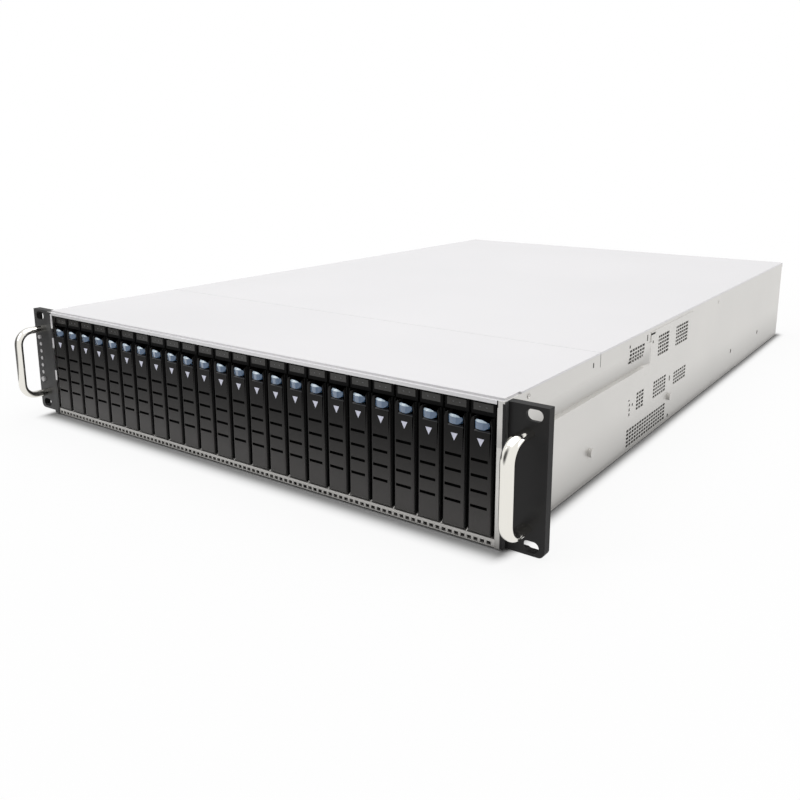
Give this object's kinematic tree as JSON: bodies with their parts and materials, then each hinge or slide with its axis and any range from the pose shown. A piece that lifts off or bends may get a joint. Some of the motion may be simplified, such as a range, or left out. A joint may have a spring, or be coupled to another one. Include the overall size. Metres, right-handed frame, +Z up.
{
  "type": "rackmount server chassis",
  "caption": "Two-unit rackmount storage chassis with upright hot-swap drive carriers, hinged levers, rack ears with bow handles, fan wall, power supplies and a lift-off cover.",
  "frame": {"origin": "under the middle of the whole part, on the plane that it rests on", "axes": "+X right seen from the front, +Y from the front to the rear, +Z up"},
  "size_m": [0.4826, 0.7264, 0.0882],
  "materials": {
    "zinc_steel": "zinc-plated sheet",
    "cover_steel": "zinc-plated sheet, pale",
    "ear_paint": "satin black paint",
    "handle_chrome": "polished",
    "carrier_plastic": "satin charcoal",
    "latch_plastic": "glossy blue",
    "circuit_board": "green laminate",
    "inner_plastic": "black moulding",
    "light_pipe": "clear light pipe",
    "button_plastic": "pale grey cap",
    "standoff_brass": "turned brass"
  },
  "bodies": {
    "chassis": {"backplane": "circuit_board", "backplane_connectors": "inner_plastic", "base_pan": "zinc_steel", "bay_dividers": "zinc_steel", "bay_floor": "zinc_steel", "board_standoffs": "standoff_brass", "cage_top": "cover_steel", "control_board": "circuit_board", "ear_left": "ear_paint", "ear_right": "ear_paint", "fan_frames": "inner_plastic", "fan_wall": "zinc_steel", "front_cover": "cover_steel", "handle_left": "handle_chrome", "handle_right": "handle_chrome", "indicator_lights": "light_pipe", "psu_cage": "zinc_steel", "rear_panel": "zinc_steel", "side_wall_left": "zinc_steel", "side_wall_right": "zinc_steel", "slot_covers": "zinc_steel"},
    "carrier_01": {"carrier_01": "carrier_plastic"},
    "carrier_02": {"carrier_02": "carrier_plastic"},
    "carrier_03": {"carrier_03": "carrier_plastic"},
    "carrier_04": {"carrier_04": "carrier_plastic"},
    "carrier_05": {"carrier_05": "carrier_plastic"},
    "carrier_06": {"carrier_06": "carrier_plastic"},
    "carrier_07": {"carrier_07": "carrier_plastic"},
    "carrier_08": {"carrier_08": "carrier_plastic"},
    "carrier_09": {"carrier_09": "carrier_plastic"},
    "carrier_10": {"carrier_10": "carrier_plastic"},
    "carrier_11": {"carrier_11": "carrier_plastic"},
    "carrier_12": {"carrier_12": "carrier_plastic"},
    "carrier_13": {"carrier_13": "carrier_plastic"},
    "carrier_14": {"carrier_14": "carrier_plastic"},
    "carrier_15": {"carrier_15": "carrier_plastic"},
    "carrier_16": {"carrier_16": "carrier_plastic"},
    "carrier_17": {"carrier_17": "carrier_plastic"},
    "carrier_18": {"carrier_18": "carrier_plastic"},
    "carrier_19": {"carrier_19": "carrier_plastic"},
    "carrier_20": {"carrier_20": "carrier_plastic"},
    "carrier_21": {"carrier_21": "carrier_plastic"},
    "carrier_22": {"carrier_22": "carrier_plastic"},
    "carrier_23": {"carrier_23": "carrier_plastic"},
    "carrier_24": {"carrier_24": "carrier_plastic"},
    "fan_rotor_1": {"fan_rotor_1": "inner_plastic"},
    "fan_rotor_2": {"fan_rotor_2": "inner_plastic"},
    "fan_rotor_3": {"fan_rotor_3": "inner_plastic"},
    "latch_button_22": {"latch_button_22": "latch_plastic"},
    "latch_button_23": {"latch_button_23": "latch_plastic"},
    "latch_button_24": {"latch_button_24": "latch_plastic"},
    "lever_22": {"lever_22": "carrier_plastic"},
    "lever_23": {"lever_23": "carrier_plastic"},
    "lever_24": {"lever_24": "carrier_plastic"},
    "power_button": {"power_button": "button_plastic"},
    "psu_module_1": {"psu_module_1": "zinc_steel"},
    "psu_module_2": {"psu_module_2": "zinc_steel"},
    "reset_button": {"reset_button": "button_plastic"},
    "top_cover": {"top_cover": "cover_steel"}
  },
  "joints": [
    {"name": "cover_lift", "type": "slide", "parent": "chassis", "child": "top_cover", "axis": [0, 0, 1], "range_m": [0, 0.15]},
    {"name": "lever_swing_24", "type": "hinge", "parent": "carrier_24", "child": "lever_24", "pos_m": [0.20125, -0.33825, 0.0184], "axis": [1, 0, 0], "range_deg": [0, 60]},
    {"name": "lever_swing_23", "type": "hinge", "parent": "carrier_23", "child": "lever_23", "pos_m": [0.18375, -0.33825, 0.0184], "axis": [1, 0, 0], "range_deg": [0, 60]},
    {"name": "lever_swing_22", "type": "hinge", "parent": "carrier_22", "child": "lever_22", "pos_m": [0.16625, -0.33825, 0.0184], "axis": [1, 0, 0], "range_deg": [0, 60]},
    {"name": "latch_press_24", "type": "slide", "parent": "lever_24", "child": "latch_button_24", "axis": [0, 1, 0], "range_m": [0, 0.0015], "stiffness_N_per_m": 400},
    {"name": "latch_press_23", "type": "slide", "parent": "lever_23", "child": "latch_button_23", "axis": [0, 1, 0], "range_m": [0, 0.0015], "stiffness_N_per_m": 400},
    {"name": "latch_press_22", "type": "slide", "parent": "lever_22", "child": "latch_button_22", "axis": [0, 1, 0], "range_m": [0, 0.0015], "stiffness_N_per_m": 400},
    {"name": "power_press", "type": "slide", "parent": "chassis", "child": "power_button", "axis": [0, 1, 0], "range_m": [0, 0.0008], "stiffness_N_per_m": 600},
    {"name": "reset_press", "type": "slide", "parent": "chassis", "child": "reset_button", "axis": [0, 1, 0], "range_m": [0, 0.0008], "stiffness_N_per_m": 600},
    {"name": "psu_slide_1", "type": "slide", "parent": "chassis", "child": "psu_module_1", "axis": [0, 1, 0], "range_m": [0, 0.2]},
    {"name": "psu_slide_2", "type": "slide", "parent": "chassis", "child": "psu_module_2", "axis": [0, 1, 0], "range_m": [0, 0.2]},
    {"name": "rotor_spin_1", "type": "hinge", "parent": "chassis", "child": "fan_rotor_1", "pos_m": [-0.132, -0.02555, 0.0412], "axis": [0, 1, 0], "continuous": true},
    {"name": "rotor_spin_2", "type": "hinge", "parent": "chassis", "child": "fan_rotor_2", "pos_m": [0, -0.02555, 0.0412], "axis": [0, 1, 0], "continuous": true},
    {"name": "rotor_spin_3", "type": "hinge", "parent": "chassis", "child": "fan_rotor_3", "pos_m": [0.132, -0.02555, 0.0412], "axis": [0, 1, 0], "continuous": true},
    {"name": "tray_slide_24", "type": "slide", "parent": "chassis", "child": "carrier_24", "axis": [0, -1, 0], "range_m": [0, 0.13]},
    {"name": "tray_slide_23", "type": "slide", "parent": "chassis", "child": "carrier_23", "axis": [0, -1, 0], "range_m": [0, 0.13]},
    {"name": "tray_slide_22", "type": "slide", "parent": "chassis", "child": "carrier_22", "axis": [0, -1, 0], "range_m": [0, 0.13]},
    {"name": "tray_slide_21", "type": "slide", "parent": "chassis", "child": "carrier_21", "axis": [0, -1, 0], "range_m": [0, 0.13]},
    {"name": "tray_slide_20", "type": "slide", "parent": "chassis", "child": "carrier_20", "axis": [0, -1, 0], "range_m": [0, 0.13]},
    {"name": "tray_slide_19", "type": "slide", "parent": "chassis", "child": "carrier_19", "axis": [0, -1, 0], "range_m": [0, 0.13]},
    {"name": "tray_slide_18", "type": "slide", "parent": "chassis", "child": "carrier_18", "axis": [0, -1, 0], "range_m": [0, 0.13]},
    {"name": "tray_slide_17", "type": "slide", "parent": "chassis", "child": "carrier_17", "axis": [0, -1, 0], "range_m": [0, 0.13]},
    {"name": "tray_slide_16", "type": "slide", "parent": "chassis", "child": "carrier_16", "axis": [0, -1, 0], "range_m": [0, 0.13]},
    {"name": "tray_slide_15", "type": "slide", "parent": "chassis", "child": "carrier_15", "axis": [0, -1, 0], "range_m": [0, 0.13]},
    {"name": "tray_slide_14", "type": "slide", "parent": "chassis", "child": "carrier_14", "axis": [0, -1, 0], "range_m": [0, 0.13]},
    {"name": "tray_slide_13", "type": "slide", "parent": "chassis", "child": "carrier_13", "axis": [0, -1, 0], "range_m": [0, 0.13]},
    {"name": "tray_slide_12", "type": "slide", "parent": "chassis", "child": "carrier_12", "axis": [0, -1, 0], "range_m": [0, 0.13]},
    {"name": "tray_slide_11", "type": "slide", "parent": "chassis", "child": "carrier_11", "axis": [0, -1, 0], "range_m": [0, 0.13]},
    {"name": "tray_slide_10", "type": "slide", "parent": "chassis", "child": "carrier_10", "axis": [0, -1, 0], "range_m": [0, 0.13]},
    {"name": "tray_slide_09", "type": "slide", "parent": "chassis", "child": "carrier_09", "axis": [0, -1, 0], "range_m": [0, 0.13]},
    {"name": "tray_slide_08", "type": "slide", "parent": "chassis", "child": "carrier_08", "axis": [0, -1, 0], "range_m": [0, 0.13]},
    {"name": "tray_slide_07", "type": "slide", "parent": "chassis", "child": "carrier_07", "axis": [0, -1, 0], "range_m": [0, 0.13]},
    {"name": "tray_slide_06", "type": "slide", "parent": "chassis", "child": "carrier_06", "axis": [0, -1, 0], "range_m": [0, 0.13]},
    {"name": "tray_slide_05", "type": "slide", "parent": "chassis", "child": "carrier_05", "axis": [0, -1, 0], "range_m": [0, 0.13]},
    {"name": "tray_slide_04", "type": "slide", "parent": "chassis", "child": "carrier_04", "axis": [0, -1, 0], "range_m": [0, 0.13]},
    {"name": "tray_slide_03", "type": "slide", "parent": "chassis", "child": "carrier_03", "axis": [0, -1, 0], "range_m": [0, 0.13]},
    {"name": "tray_slide_02", "type": "slide", "parent": "chassis", "child": "carrier_02", "axis": [0, -1, 0], "range_m": [0, 0.13]},
    {"name": "tray_slide_01", "type": "slide", "parent": "chassis", "child": "carrier_01", "axis": [0, -1, 0], "range_m": [0, 0.13]}
  ]
}
